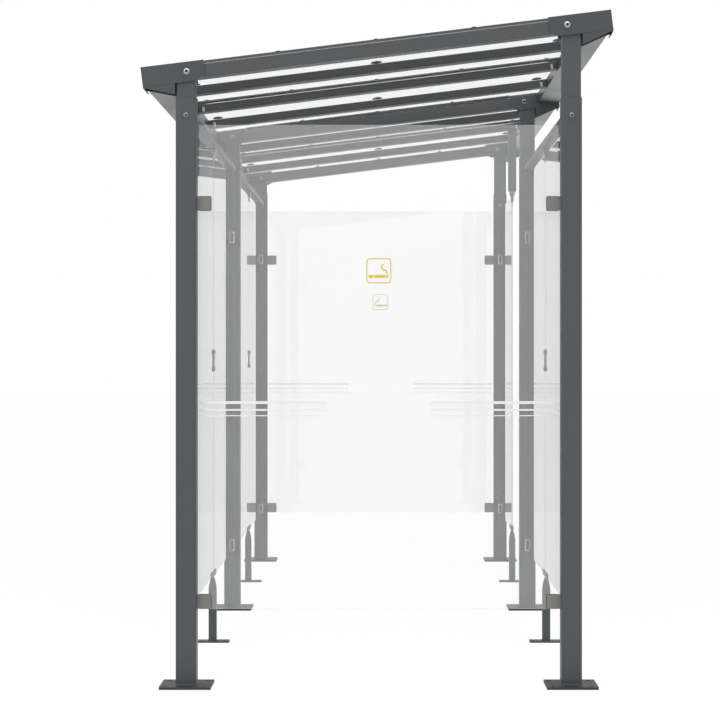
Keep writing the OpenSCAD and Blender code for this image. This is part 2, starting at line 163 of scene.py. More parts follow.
def finished(bm, name, *finishes, crease=35):
    """Turns a bmesh into a piece of the shelter. Its first faces have the first finish."""
    bmesh.ops.recalc_face_normals(bm, faces=bm.faces)
    mesh = bpy.data.meshes.new(name)
    bm.to_mesh(mesh)
    bm.free()
    for finish in finishes:
        mesh.materials.append(finish)
    mesh.shade_smooth()
    mesh.set_sharp_from_angle(angle=math.radians(crease))
    piece = bpy.data.objects.new(name, mesh)
    bpy.context.scene.collection.objects.link(piece)
    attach(piece, "root")
    return piece


def edges_of(verts):
    """The edges that meet in some verts, each once."""
    return list(dict.fromkeys(e for v in verts for e in v.link_edges))


def of_kind(made, kind):
    """The verts, edges or faces among what an operator made."""
    return [g for g in made if isinstance(g, kind)]


def set_out(part, places):
    """Sets out copies of one small part at each of its places, and clears the part away."""
    loose = bpy.data.meshes.new("part")
    part.to_mesh(loose)
    part.free()
    bm = bmesh.new()
    for place in places:
        held = len(bm.verts)
        bm.from_mesh(loose)
        bm.verts.ensure_lookup_table()
        bmesh.ops.transform(bm, matrix=place, verts=bm.verts[held:])
    bpy.data.meshes.remove(loose)
    return bm


def rounded_loop(bm, size, radius, steps=3):
    """The edges of a square outline with round corners, on Z = 0."""
    grid = bmesh.ops.create_grid(bm, x_segments=1, y_segments=1, size=size / 2)["verts"]
    made = bmesh.ops.bevel(
        bm, geom=grid, offset=radius, segments=steps, profile=0.5, affect="VERTICES", material=-1
    )
    edges = edges_of(made["verts"])
    faces = list(dict.fromkeys(f for e in edges for f in e.link_faces))
    bmesh.ops.delete(bm, geom=faces, context="FACES_ONLY")
    return edges


def weld_ring(tube, radius, width):
    """A weld bead round a square tube's foot, as two rows of faces from plate to tube."""
    bm = bmesh.new()
    size = tube + 2 * width
    row = rounded_loop(bm, size, radius + width)
    for inward, up in ((0.3, 0.55), (0.7, 0.45)):
        grown = bmesh.ops.extrude_edge_only(bm, edges=row)["geom"]
        row = of_kind(grown, bmesh.types.BMEdge)
        verts = of_kind(grown, bmesh.types.BMVert)
        smaller = size - 2 * inward * width
        bmesh.ops.scale(bm, verts=verts, vec=(smaller / size, smaller / size, 1))
        bmesh.ops.translate(bm, verts=verts, vec=(0, 0, up * width))
        size = smaller
    return bm


steel_coat = powder_coat("steel_coat", post_steel, post_steel_light)
# The weld coat is near-black painted shade in the foot's corner, and the plate coat is painted
# shade at the floor.
weld_shade_coat = powder_coat("weld_shade_coat", weld_painted_shade, weld_painted_shade_pale, ripple=90)
posts = {(side, at): centre(f"post_{side}_{at}") for side in side_names for at in frame_names}
dress(powder_coat("plate_shade_coat", plate_painted_shade, plate_painted_shade_pale, sheen=0.5), "base_plates")
dress(steel_coat, *(f"post_{side}_{at}" for side, at in posts))

plate_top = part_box("base_plates")[1].z
tube_low, tube_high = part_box("post_low_near")
post_width = tube_high.x - tube_low.x
foot_welds = set_out(
    weld_ring(post_width, tube_corner, bead_width),
    [Matrix.Translation((at.x, at.y, plate_top)) for at in posts.values()],
)
finished(foot_welds, "post_foot_welds", weld_shade_coat)


# Post heads: smaller square tubes that slide in the lower posts, so that the roof can be
# set level. A bolt with a low domed head goes right through each post and head, and a
# washer and a hexagon nut lock it on the other face.
lock_bolt_drop = 70 * mm
lock_head_width = 18 * mm
lock_head_height = 5 * mm
lock_washer_width = 21 * mm
lock_socket = 8 * mm
nut_width = 19 * mm
nut_height = 8 * mm
washer_thick = 2 * mm
washer_ease = 0.4 * mm
toward_near = Matrix.Rotation(math.pi / 2, 4, "X")
toward_far = Matrix.Rotation(-math.pi / 2, 4, "X")


def lathe(bm, outline, steps=24):
    """Turns an outline of (radius, height) points about Z."""
    points = [bm.verts.new((radius, 0, height)) for radius, height in outline]
    edges = [bm.edges.new(pair) for pair in zip(points, points[1:])]
    bmesh.ops.spin(
        bm, geom=points + edges, cent=(0, 0, 0), axis=(0, 0, 1), angle=math.tau,
        steps=steps, use_merge=True,
    )
    bmesh.ops.remove_doubles(bm, verts=bm.verts, dist=0.01 * mm)


def add_washer(bm, width, thick):
    """A flat ring under a head or a nut, with its upper rim eased."""
    ring = bmesh.ops.create_cone(
        bm, cap_ends=True, segments=24, radius1=width / 2, radius2=width / 2, depth=thick,
        matrix=Matrix.Translation((0, 0, thick / 2)),
    )["verts"]
    rim = [e for e in edges_of(ring) if min(v.co.z for v in e.verts) > thick / 2]
    bmesh.ops.bevel(
        bm, geom=rim, offset=washer_ease, segments=1, profile=0.5, affect="EDGES", material=-1
    )


def domed_bolt(width, height, washer_width, socket):
    """A domed bolt head on its washer, with a hexagon socket sunk in its top. The socket's walls
    and floor take the second finish, a near-black painted shade.
    """
    bm = bmesh.new()
    crown = washer_thick + height
    hollow = socket / 2 * 1.12
    arc = [(hollow, height)]
    for lean in range(15, 91, 15):
        out, up = math.sin(math.radians(lean)), math.cos(math.radians(lean))
        arc.append((hollow + (width / 2 - hollow) * out, height * (0.35 + 0.65 * up)))
    lathe(bm, [(r, washer_thick + z) for r, z in arc] + [(width / 2, washer_thick)])
    rim = [
        e for e in bm.edges
        if e.is_boundary and min(v.co.z for v in e.verts) > crown - height * 0.1
    ]
    key = bmesh.ops.create_circle(
        bm, segments=6, radius=socket / 2, matrix=Matrix.Translation((0, 0, crown))
    )["verts"]
    sides = edges_of(key)
    bmesh.ops.bridge_loops(bm, edges=rim + sides)
    sunk = bmesh.ops.extrude_edge_only(bm, edges=sides)["geom"]
    deep = -0.7 * height
    bmesh.ops.translate(bm, verts=of_kind(sunk, bmesh.types.BMVert), vec=(0, 0, deep))
    bottom = bmesh.ops.contextual_create(bm, geom=of_kind(sunk, bmesh.types.BMEdge))["faces"]
    # The sunk faces take the second finish: near-black painted shade in the socket.
    for face in bottom + of_kind(sunk, bmesh.types.BMFace):
        face.material_index = 1
    add_washer(bm, washer_width, washer_thick)
    return bm


def hexagon_nut(width, height, washer_width):
    """A hexagon nut with chamfered corners on its washer, and the bolt's end standing out."""
    bm = bmesh.new()
    nut = bmesh.ops.create_cone(
        bm, cap_ends=True, segments=6, radius1=width / 2, radius2=width / 2, depth=height,
        matrix=Matrix.Translation((0, 0, washer_thick + height / 2)),
    )["verts"]
    top = [e for e in edges_of(nut) if min(v.co.z for v in e.verts) > height]
    bmesh.ops.bevel(
        bm, geom=top, offset=height * 0.12, segments=2, profile=0.5, affect="EDGES", material=-1
    )
    thread = width * 0.27
    end = washer_thick + height * 1.35
    foot = washer_thick + height * 0.9
    lathe(bm, [
        (0, end), (thread - 1 * mm, end), (thread, end - height * 0.13), (thread, foot)
    ], steps=16)
    add_washer(bm, washer_width, washer_thick)
    return bm


# Bright zinc plate on the bolts: metal with a faint, cloudy change of polish.
plating, inside, outside = new_effect(
    "plating", [("Place", "Vector"), ("Bright", "Color"), ("Dull", "Color")],
    [("Color", "Color"), ("Polish", "Float"), ("Scratch", "Float")],
)
cloud = put(plating, "TexNoise", Vector=inside.outputs["Place"], Scale=90.0, Detail=4.0)
scratch = put(plating, "TexNoise", Vector=inside.outputs["Place"], Scale=900.0, Detail=2.0)
polish = put(plating, "MapRange", cloud.outputs["Fac"], 0.3, 0.7, 0.22, 0.38)
plating.links.new(
    two_tone(plating, cloud.outputs["Fac"], inside.outputs["Bright"], inside.outputs["Dull"]),
    outside.inputs["Color"],
)
plating.links.new(polish.outputs["Result"], outside.inputs["Polish"])
plating.links.new(scratch.outputs["Fac"], outside.inputs["Scratch"])


def plated(name, bright, dull):
    """A plated finish, between its bright and its dull colour."""
    finish, tree, shader, place = new_finish(name)
    layer = effect(tree, plating, Place=place, Bright=bright, Dull=dull)
    tree.links.new(layer.outputs["Color"], shader.inputs["Base Color"])
    tree.links.new(layer.outputs["Polish"], shader.inputs["Roughness"])
    relief = put(tree, "Bump", Height=layer.outputs["Scratch"], Strength=0.15, Distance=0.05 * mm)
    tree.links.new(relief.outputs["Normal"], shader.inputs["Normal"])
    shader.inputs["Metallic"].default_value = 1.0
    return finish


dress(steel_coat, "post_heads_low", "post_heads_high")
bright_zinc = plated("bright_zinc", (0.54, 0.55, 0.56, 1), (0.38, 0.39, 0.40, 1))
# The dull zinc is a plain dull plate on most bolts and nuts, and painted shade on the middle arm
# bolts.
dull_zinc_and_shade = plated("dull_zinc_and_shade", (0.27, 0.28, 0.29, 1), (0.17, 0.18, 0.19, 1))
# Near-black for the inside of bolt sockets: painted shade in the recess, not a plating.
socket_shade = plated("socket_shade", (0.030, 0.030, 0.032, 1), (0.016, 0.016, 0.018, 1))
lock_heads, lock_nuts = [], []
for (side, at), place in posts.items():
    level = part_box(f"post_{side}_{at}")[1].z - lock_bolt_drop
    near_face = Matrix.Translation((place.x, place.y - post_width / 2, level)) @ toward_near
    far_face = Matrix.Translation((place.x, place.y + post_width / 2, level)) @ toward_far
    lock_heads.append(far_face if at == "far" else near_face)
    lock_nuts.append(near_face if at == "far" else far_face)
head = domed_bolt(lock_head_width, lock_head_height, lock_washer_width, lock_socket)
finished(set_out(head, lock_heads), "lock_bolts", dull_zinc_and_shade, socket_shade)
nut = hexagon_nut(nut_width, nut_height, lock_washer_width)
finished(set_out(nut, lock_nuts), "lock_nuts", dull_zinc_and_shade)


# Rafters and arms: one rectangular tube across each frame, with a folded 5 mm channel
# saddled over either end and held by one through bolt. The arm carries the gutter's end,
# and its notched gusset stands beside the post.
slope = math.radians(7)
arm_bolt_u = 745 * mm
arm_face = 45.3 * mm
# Arms and gutters are painted darker than the posts: painted shade under the roof's edge.
arm_painted_shade = (0.037, 0.044, 0.047, 1)
arm_painted_shade_pale = (0.046, 0.053, 0.057, 1)
arm_head_width = 22 * mm
arm_head_height = 7 * mm
arm_washer_width = 25 * mm
arm_socket = 12 * mm
rafter_middle = centre("rafter_near")
rafter_drop = 4 * mm
roof = (
    Matrix.Translation((rafter_middle.x, 0, rafter_middle.z))
    @ Matrix.Rotation(-slope, 4, "Y")
    @ Matrix.Translation((0, 0, rafter_drop))
)
frame_y = {at: posts["low", at].y for at in frame_names}


def on_roof(u, y, v):
    """A place on the roof: up the slope, along the shelter, and square off the slope."""
    return roof @ Matrix.Translation((u, y, v))


dress(steel_coat, "rafter_near", "rafter_mid", "rafter_far")
# The satin coat's lower roughness is its own, and its darker tone is painted shade.
satin_shade_coat = powder_coat("satin_shade_coat", arm_painted_shade, arm_painted_shade_pale, sheen=0.28)
dress(satin_shade_coat, "arms_low", "arms_high")
gable_heads, middle_heads, arm_nuts = [], [], []
for u in (-arm_bolt_u, arm_bolt_u):
    for at, y in frame_y.items():
        near_cheek = on_roof(u, y - arm_face, 0) @ toward_near
        far_cheek = on_roof(u, y + arm_face, 0) @ toward_far
        heads = middle_heads if at == "mid" else gable_heads
        heads.append(far_cheek if at == "far" else near_cheek)
        arm_nuts.append(near_cheek if at == "far" else far_cheek)
head = domed_bolt(arm_head_width, arm_head_height, arm_washer_width, arm_socket)
finished(set_out(head, gable_heads), "gable_arm_bolts", bright_zinc, socket_shade)
# The middle frame's heads take the dull zinc, a shaded copy of the gable heads' bright zinc:
# painted shade.
head = domed_bolt(arm_head_width, arm_head_height, arm_washer_width, arm_socket)
finished(set_out(head, middle_heads), "middle_arm_bolts", dull_zinc_and_shade, socket_shade)
nut = hexagon_nut(nut_width, nut_height, arm_washer_width)
finished(set_out(nut, arm_nuts), "arm_nuts", dull_zinc_and_shade)


# Battens: flat rectangular tubes across each bay, under the sheets. Small zinc-plated
# tabs, each with two button screws, hold either end to the gutter's wall.
# Battens take a coat painted darker than the posts', though the paint is the same: painted shade
# under the roof.
batten_painted_shade = (0.032, 0.037, 0.039, 1)
batten_painted_shade_pale = (0.040, 0.046, 0.049, 1)
batten_width = 80 * mm
bay_length = frame_y["mid"] - frame_y["near"]
batten_y = [frame_y["near"] + bay_length * (i + 1) / 4 for i in range(7) if i != 3]
tab_u = 786 * mm
tab_v = 3 * mm
tab_size = (11 * mm, 22 * mm, 2 * mm)
tab_corner = 2.5 * mm
tab_screw_y = 5.5 * mm
tab_screw_foot = 3.2 * mm
tab_screw_top = 2 * mm
tab_screw_height = 2 * mm


def batten_tab():
    """A small plate with round corners, lying on Z = 0, and its two screws."""
    bm = bmesh.new()
    plate = bmesh.ops.create_cube(bm, size=1)["verts"]
    bmesh.ops.scale(bm, verts=plate, vec=tab_size)
    bmesh.ops.translate(bm, verts=plate, vec=(0, 0, tab_size[2] / 2))
    corners = [e for e in edges_of(plate) if e.verts[0].co.z != e.verts[1].co.z]
    bmesh.ops.bevel(
        bm, geom=corners, offset=tab_corner, segments=3, profile=0.5, affect="EDGES", material=-1
    )
    for y in (-tab_screw_y, tab_screw_y):
        bmesh.ops.create_cone(
            bm, cap_ends=True, segments=12, radius1=tab_screw_foot, radius2=tab_screw_top,
            depth=tab_screw_height,
            matrix=Matrix.Translation((0, y, tab_size[2] + tab_screw_height / 2)),
        )
    return bm


batten_shade_coat = powder_coat("batten_shade_coat", batten_painted_shade, batten_painted_shade_pale)
dress(batten_shade_coat, "battens_near_bay", "battens_far_bay")
tabs = set_out(batten_tab(), [
    on_roof(u, y + side * batten_width / 2, tab_v) @ (toward_near if side < 0 else toward_far)
    for y in batten_y for u in (-tab_u, tab_u) for side in (-1, 1)
])
finished(tabs, "batten_tabs", bright_zinc)


# Gutters: 2 mm sheet folded to a trough with a turned-in lip, hung between two arms and
# coated with them, in the arms' darker tone that is painted shade under the roof's edge.
dress(satin_shade_coat, "gutter_low_near", "gutter_low_far", "gutter_high_near", "gutter_high_far")


# Roof: four clear 8 mm polycarbonate sheets on black rubber packing, pressed down by screwed
# cover strips with rubber lips, and by broad domed caps. A pale bed under each cover strip
# and pale beads along the battens' edges are painted light, for the light caught in the
# sheets' edges. An angle over a grey rubber seal closes off each gable.
rafter_top = 21.1 * mm
sheet_top = 34.3 * mm
strip_top = 42.6 * mm
strip_width = 50 * mm
gable_screw_y = 2515 * mm
long_strip_u = 850 * mm
short_strip_u = 674 * mm
lip_radius = 3 * mm
lip_level = 2.1 * mm
lip_offset = 0.5 * mm
lip_end = 2 * mm
# The pale bed and beads below are painted light caught in the sheets, not silicone.
painted_light_bed_height = 0.25 * mm
painted_light_bead_radius = 1.7 * mm
painted_light_bead_level = 24.4 * mm
painted_light_bead_half = 770 * mm
packing_width = 72 * mm
packing_height = 5 * mm
seal_width = 4 * mm
screw_pitch = 385 * mm
screw_width = 21 * mm
screw_height = 4.5 * mm
screw_ease = 0.8 * mm
flange_thick = 1.2 * mm
flange_seat = 1 * mm
cap_width = 48 * mm
cap_height = 8 * mm
cap_edge = 1.5 * mm
cap_screw_foot = 6 * mm
cap_screw_top = 4 * mm
cap_screw_height = 2.5 * mm
cap_u = 770 * mm


def let_lamps_through(tree, shader, share):
    """Opens a clear body to lamps, so that they light what stands behind it."""
    ray = tree.nodes.new("ShaderNodeLightPath")
    lit = put(tree, "BsdfTransparent", share)
    both = put(tree, "MixShader", ray.outputs["Is Shadow Ray"], shader.outputs[0], lit.outputs[0])
    tree.links.new(both.outputs[0], tree.nodes["Material Output"].inputs["Surface"])


def clear_sheet():
    """Clear plastic: it lets most light through and greys a little, more so edge on."""
    finish, tree, shader, place = new_finish("polycarbonate")
    haze = put(tree, "TexNoise", Vector=place, Scale=4.0, Detail=3.0)
    ripple = put(tree, "TexNoise", Vector=place, Scale=14.0, Detail=1.0)
    tone = two_tone(tree, haze.outputs["Fac"], (0.90, 0.92, 0.93, 1), (0.96, 0.97, 0.97, 1))
    tree.links.new(tone, shader.inputs["Base Color"])
    turned = put(tree, "LayerWeight", Blend=0.35)
    cover = put(tree, "MapRange", turned.outputs["Fresnel"], 0.0, 1.0, 0.03, 0.10)
    tree.links.new(cover.outputs["Result"], shader.inputs["Alpha"])
    relief = put(tree, "Bump", Height=ripple.outputs["Fac"], Strength=0.05, Distance=2 * mm)
    tree.links.new(relief.outputs["Normal"], shader.inputs["Normal"])
    shader.inputs["Roughness"].default_value = 0.12
    let_lamps_through(tree, shader, (0.66, 0.67, 0.68, 1))
    return finish


def rubber_finish(name, tone, tone_light):
    """Rubber or silicone: dull and fine-grained, with a faint bloom."""
    finish, tree, shader, place = new_finish(name)
    grain = put(tree, "TexNoise", Vector=place, Scale=700.0, Detail=3.0)
    bloom = put(tree, "TexNoise", Vector=place, Scale=25.0, Detail=2.0)
    tone = two_tone(tree, bloom.outputs["Fac"], tone, tone_light)
    tree.links.new(tone, shader.inputs["Base Color"])
    dry = put(tree, "MapRange", bloom.outputs["Fac"], 0.3, 0.7, 0.6, 0.8)
    tree.links.new(dry.outputs["Result"], shader.inputs["Roughness"])
    relief = put(tree, "Bump", Height=grain.outputs["Fac"], Strength=0.3, Distance=0.2 * mm)
    tree.links.new(relief.outputs["Normal"], shader.inputs["Normal"])
    return finish


def hexagon_screw(width, height):
    """A small hexagon head on a pressed flange."""
    bm = bmesh.new()
    add_washer(bm, width * 1.25, flange_thick)
    hexagon = bmesh.ops.create_cone(
        bm, cap_ends=True, segments=6, radius1=width / 2, radius2=width / 2, depth=height,
        matrix=Matrix.Translation((0, 0, flange_seat + height / 2)),
    )["verts"]
    top = [e for e in edges_of(hexagon) if min(v.co.z for v in e.verts) > height]
    bmesh.ops.bevel(
        bm, geom=top, offset=screw_ease, segments=2, profile=0.5, affect="EDGES", material=-1
    )
    return bm


def sheet_cap(width, height):
    """A broad, flat domed cap with a screw let into its middle."""
    bm = bmesh.new()
    dome = []
    for lean in range(0, 91, 15):
        out, up = math.sin(math.radians(lean)), math.cos(math.radians(lean))
        dome.append((width / 2 * out, cap_edge + (height - cap_edge) * up))
    lathe(bm, dome + [(width / 2, 0)], steps=32)
    bmesh.ops.create_cone(
        bm, cap_ends=True, segments=12, radius1=cap_screw_foot, radius2=cap_screw_top,
        depth=cap_screw_height, matrix=Matrix.Translation((0, 0, height)),
    )
    return bm


def add_block(bm, y, foot, size):
    """A block laid across the roof, with its foot at a level."""
    place = on_roof(0, y, foot + size[2] / 2)
    bmesh.ops.create_cube(bm, size=1, matrix=place @ Matrix.Diagonal((*size, 1)))


def add_bead(bm, y, level, radius, length):
    """A round bead laid across the roof."""
    bmesh.ops.create_cone(
        bm, cap_ends=True, segments=12, radius1=radius, radius2=radius, depth=length,
        matrix=on_roof(0, y, level) @ Matrix.Rotation(math.pi / 2, 4, "Y"),
    )


dress(clear_sheet(), "roof_sheet_1", "roof_sheet_2", "roof_sheet_3", "roof_sheet_4")
dress(powder_coat("strip_coat", post_steel, post_steel_light), "cover_strips")
rubber = rubber_finish("rubber", (0.012, 0.012, 0.012, 1), (0.026, 0.026, 0.027, 1))
grey_rubber = rubber_finish("grey_rubber", (0.30, 0.31, 0.31, 1), (0.36, 0.37, 0.37, 1))
# The pale silicone tone serves the edge strip, and the painted light under the roof and on the side
# clamps.
silicone_and_painted_light = rubber_finish("silicone_and_painted_light", (0.50, 0.51, 0.51, 1), (0.58, 0.59, 0.59, 1))
strips = ((-bay_length / 2, long_strip_u), (0, short_strip_u), (bay_length / 2, long_strip_u))
lips, painted_light_beds = bmesh.new(), bmesh.new()
for y, half in strips:
    if y:
        add_block(painted_light_beds, y, sheet_top, (2 * half, strip_width - 2 * lip_radius, painted_light_bed_height))
    for edge in (-1, 1):
        if y:
            painted_light_bead_y = y + edge * (batten_width / 2 + painted_light_bead_radius)
            add_bead(painted_light_beds, painted_light_bead_y, painted_light_bead_level, painted_light_bead_radius, 2 * painted_light_bead_half)
        lip_y = y + edge * (strip_width / 2 + lip_offset)
        add_bead(lips, lip_y, sheet_top + lip_level, lip_radius, 2 * (half - lip_end))
finished(lips, "strip_lips", rubber)
finished(painted_light_beds, "strip_painted_light", silicone_and_painted_light)
packing, seals = bmesh.new(), bmesh.new()
for at, y in frame_y.items():
    add_block(packing, y, rafter_top, (2 * short_strip_u, packing_width, packing_height))
    if at != "mid":
        out = -1 if at == "near" else 1
        seal_y = y + out * (post_width - seal_width) / 2
        add_block(seals, seal_y, rafter_top, (2 * short_strip_u, seal_width, packing_height))
finished(packing, "sheet_packing", rubber)
finished(seals, "gable_seals", grey_rubber)
screw_places = [
    on_roof(u * screw_pitch, y, strip_top)
    for y, half in strips for u in range(-2, 3) if abs(u * screw_pitch) < half
]
screw_places += [
    on_roof(u * screw_pitch, end * gable_screw_y, sheet_top) for end in (-1, 1) for u in (-1, 0, 1)
]
screws = set_out(hexagon_screw(screw_width, screw_height), screw_places)
finished(screws, "strip_screws", rubber)
cap_places = [
    on_roof(u, y, sheet_top)
    for y in batten_y if abs(abs(y) - bay_length / 2) > batten_width for u in (-cap_u, 0, cap_u)
]
caps = set_out(sheet_cap(cap_width, cap_height), cap_places)
finished(caps, "sheet_caps", rubber)


# Rails, drop post and pane holders: light tubes over the side panes, and pressed holders
# that hang from them and grip the panes' upper edges between two rubber-lined jaws.
fitting_grey = (0.150, 0.150, 0.138, 1)
fitting_grey_light = (0.168, 0.168, 0.155, 1)
fitting_coat = powder_coat("fitting_coat", fitting_grey, fitting_grey_light)
dress(steel_coat, "rails_low", "rail_high", "drop_post")
dress(fitting_coat, "pane_holders")


# Clamps: cast fittings bolted to the posts, each with two jaws that close on a pane over
# thin rubber liners. A domed screw draws the jaws together from the inside. At the free end
# of each side clamp, pale bars are a painted highlight along the jaws' edges, and a dark bar
# on both sides of the pane is painted shade in the gap between jaw and pane.
glass_half = 4 * mm
jaw_half = 11.5 * mm
clamp_reach = 55 * mm
clamp_height = 55 * mm
clamp_rise = 29 * mm
clamp_drop = 306 * mm
clamp_screw_x = 31 * mm
clamp_screw_width = 13 * mm
clamp_screw_height = 4 * mm
clamp_washer_width = 15 * mm
clamp_socket = 6 * mm
liner_start = 10 * mm
liner_proud = 1.3 * mm
liner_thick = 1.1 * mm
liner_corner = 6 * mm
liner_middle = glass_half + 0.6 * mm
painted_bar_thick = 1.2 * mm
# Pale bars at the jaws' edges are painted highlight, and the dark bar beside the pane is painted
# shade.
painted_highlight_bars = ((15 * mm, 0, 3 * mm, 57 * mm),) + tuple(
    (9.2 * mm, z, 8.6 * mm, 3 * mm) for z in (27 * mm, -27 * mm)
)
painted_shade_bar = (6 * mm, 0, 3 * mm, 37 * mm)
dress(fitting_coat, "gable_clamps_near", "gable_clamps_far", "side_clamps_low", "side_clamps_high")
pane_low, pane_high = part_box("gable_glass_near")
clamp_levels = (pane_low.z + clamp_rise, pane_high.z - clamp_drop)


def clamp_liner():
    """The two rubber liners of one clamp, lying on the glass, drawn along +X from a post."""
    bm = bmesh.new()
    for face in (-1, 1):
        pad = bmesh.ops.create_cube(bm, size=1)["verts"]
        end = clamp_reach + liner_proud
        height = clamp_height + 2 * liner_proud
        bmesh.ops.scale(bm, verts=pad, vec=(end - liner_start, liner_thick, height))
        middle = ((end + liner_start) / 2, face * liner_middle, 0)
        bmesh.ops.translate(bm, verts=pad, vec=middle)
        corners = [
            e for e in edges_of(pad)
            if min(v.co.x for v in e.verts) > clamp_reach and e.verts[0].co.y != e.verts[1].co.y
        ]
        bmesh.ops.bevel(
            bm, geom=corners, offset=liner_corner, segments=4, profile=0.5, affect="EDGES",
            material=-1,
        )
    return bm


def add_bar(bm, end, out, bar):
    """One bar on a jaw's end: its distance out, its level, its width and its height."""
    x, z, wide, high = bar
    place = end @ Matrix.Translation((out * x, 0, z))
    bmesh.ops.create_cube(bm, size=1, matrix=place @ Matrix.Diagonal((wide, painted_bar_thick, high, 1)))


# Every clamp's place comes with the turn that faces its screw to the inside.
clamp_places = []
for at, inward in (("near", 1), ("far", -1)):
    for side, turn in (("low", 0), ("high", math.pi)):
        post = posts[side, at]
        reach = post_width / 2 if side == "low" else -post_width / 2
        for level in clamp_levels:
            clamp_places.append((
                Matrix.Translation((post.x + reach, post.y, level)) @ Matrix.Rotation(turn, 4, "Z"),
                toward_far if (inward > 0) == (side == "low") else toward_near,
            ))
side_clamps = [("low", "near", 1), ("low", "mid", -1), ("low", "mid", 1), ("low", "far", -1)]
side_clamps += [("high", "near", 1), ("high", "mid", -1), ("high", "far", -1)]
for side, at, way in side_clamps:
    post = posts[side, at]
    for level in clamp_levels:
        clamp_places.append((
            Matrix.Translation((post.x, post.y + way * post_width / 2, level))
            @ Matrix.Rotation(way * math.pi / 2, 4, "Z"),
            toward_near if (way > 0) == (side == "low") else toward_far,
        ))
liners = set_out(clamp_liner(), [place for place, _ in clamp_places])
finished(liners, "clamp_liners", rubber)
# Painted highlight on the jaw ends' edges, and painted shade beside the pane.
jaw_painted_highlights, jaw_shade_bars = bmesh.new(), bmesh.new()
for side, at, way in side_clamps:
    post = posts[side, at]
    for level in clamp_levels:
        free_end = post_width / 2 + clamp_reach + painted_bar_thick / 2
        end = Matrix.Translation((post.x, post.y + way * free_end, level))
        for out in (-1, 1):
            for bar in painted_highlight_bars:
                add_bar(jaw_painted_highlights, end, out, bar)
            add_bar(jaw_shade_bars, end, out, painted_shade_bar)
finished(jaw_painted_highlights, "jaw_painted_highlights", silicone_and_painted_light)
finished(jaw_shade_bars, "jaw_painted_shade", rubber)
inner_faces = []
for place, facing in clamp_places:
    out = -1 if facing is toward_near else 1
    inner_faces.append(place @ Matrix.Translation((clamp_screw_x, out * jaw_half, 0)) @ facing)
screw = domed_bolt(clamp_screw_width, clamp_screw_height, clamp_washer_width, clamp_socket)
finished(set_out(screw, inner_faces), "clamp_screws", dull_zinc_and_shade, socket_shade)


# Panes: 8 mm toughened glass with ground edges, held by the clamps, holders and shoes. The
# body has a faint white veil, and the edges are milky green. Seen along, the faces mirror
# what stands beside them, and the body's colour is painted darker by the view's angle:
# painted shade, strongest on the side panes.
ground, inside, outside = new_effect("ground_edge", [("Across", "Vector")], [("Edge", "Float")])
facing = put(ground, "NewGeometry").outputs["Normal"]
along = put(
    ground, "VectorMath", facing, inside.outputs["Across"], options={"operation": "DOT_PRODUCT"}
)
square = put(ground, "Math", along.outputs["Value"], options={"operation": "ABSOLUTE"})
edge = put(ground, "Math", 1.0, square.outputs[0], options={"operation": "SUBTRACT"})
ground.links.new(edge.outputs[0], outside.inputs["Edge"])


def pane_glass(name, across, clear, edge_on_shade):
    """Toughened glass: across is the direction through the pane, clear its clear share, and the
    last tone the painted shade of its body when seen along.
    """
    finish, tree, shader, place = new_finish(name)
    rim = effect(tree, ground, Across=across).outputs["Edge"]
    turned = put(tree, "LayerWeight", Blend=0.5)
    edge_on_share = put(tree, "MapRange", turned.outputs["Facing"], 0.55, 0.92, 0.0, 1.0)
    body = two_tone(tree, edge_on_share.outputs["Result"], (0.985, 0.985, 0.985, 1), edge_on_shade)
    tone = two_tone(tree, rim, body, (0.80, 0.88, 0.85, 1))
    tree.links.new(tone, shader.inputs["Base Color"])
    roller = put(tree, "TexNoise", Vector=place, Scale=3.0, Detail=1.0)
    relief = put(tree, "Bump", Height=roller.outputs["Fac"], Strength=0.04, Distance=2 * mm)
    tree.links.new(relief.outputs["Normal"], shader.inputs["Normal"])
    sheen = put(tree, "MapRange", rim, 0.0, 1.0, 0.0, 0.45)
    tree.links.new(sheen.outputs["Result"], shader.inputs["Roughness"])
    shader.inputs["Transmission Weight"].default_value = clear
    shader.inputs["IOR"].default_value = 1.5
    let_lamps_through(tree, shader, (0.96, 0.97, 0.97, 1))
    return finish


clear_share = 0.925
# Seen along, the gable glass greys a little and the side glass goes near black: painted shade.
gable_glass = pane_glass("gable_glass", (0, 1, 0), clear_share, (0.9, 0.9, 0.9, 1))
side_glass = pane_glass("side_glass", (1, 0, 0), clear_share, (0.10, 0.11, 0.11, 1))
dress(gable_glass, "gable_glass_near", "gable_glass_far")
dress(
    side_glass,
    "glass_low_1", "glass_low_2", "glass_low_3", "glass_low_4",
    "glass_high_1", "glass_high_2", "glass_high_3",
)


# Edge strip: a thin, pale plastic strip on the one free edge of glass, beside the doorway. It
# is glued over the whole ground edge, so that the edge can be seen and nobody is hurt by it.
edge_thick = 1.2 * mm
free_low, free_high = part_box("glass_high_3")
edge_middle = (free_low + free_high) / 2
edge_middle.y = free_low.y - edge_thick / 2
edge_size = (free_high.x - free_low.x, edge_thick, free_high.z - free_low.z, 1)
edge_strip = bmesh.new()
bmesh.ops.create_cube(
    edge_strip, size=1, matrix=Matrix.Translation(edge_middle) @ Matrix.Diagonal(edge_size)
)
finished(edge_strip, "free_edge_strip", silicone_and_painted_light)


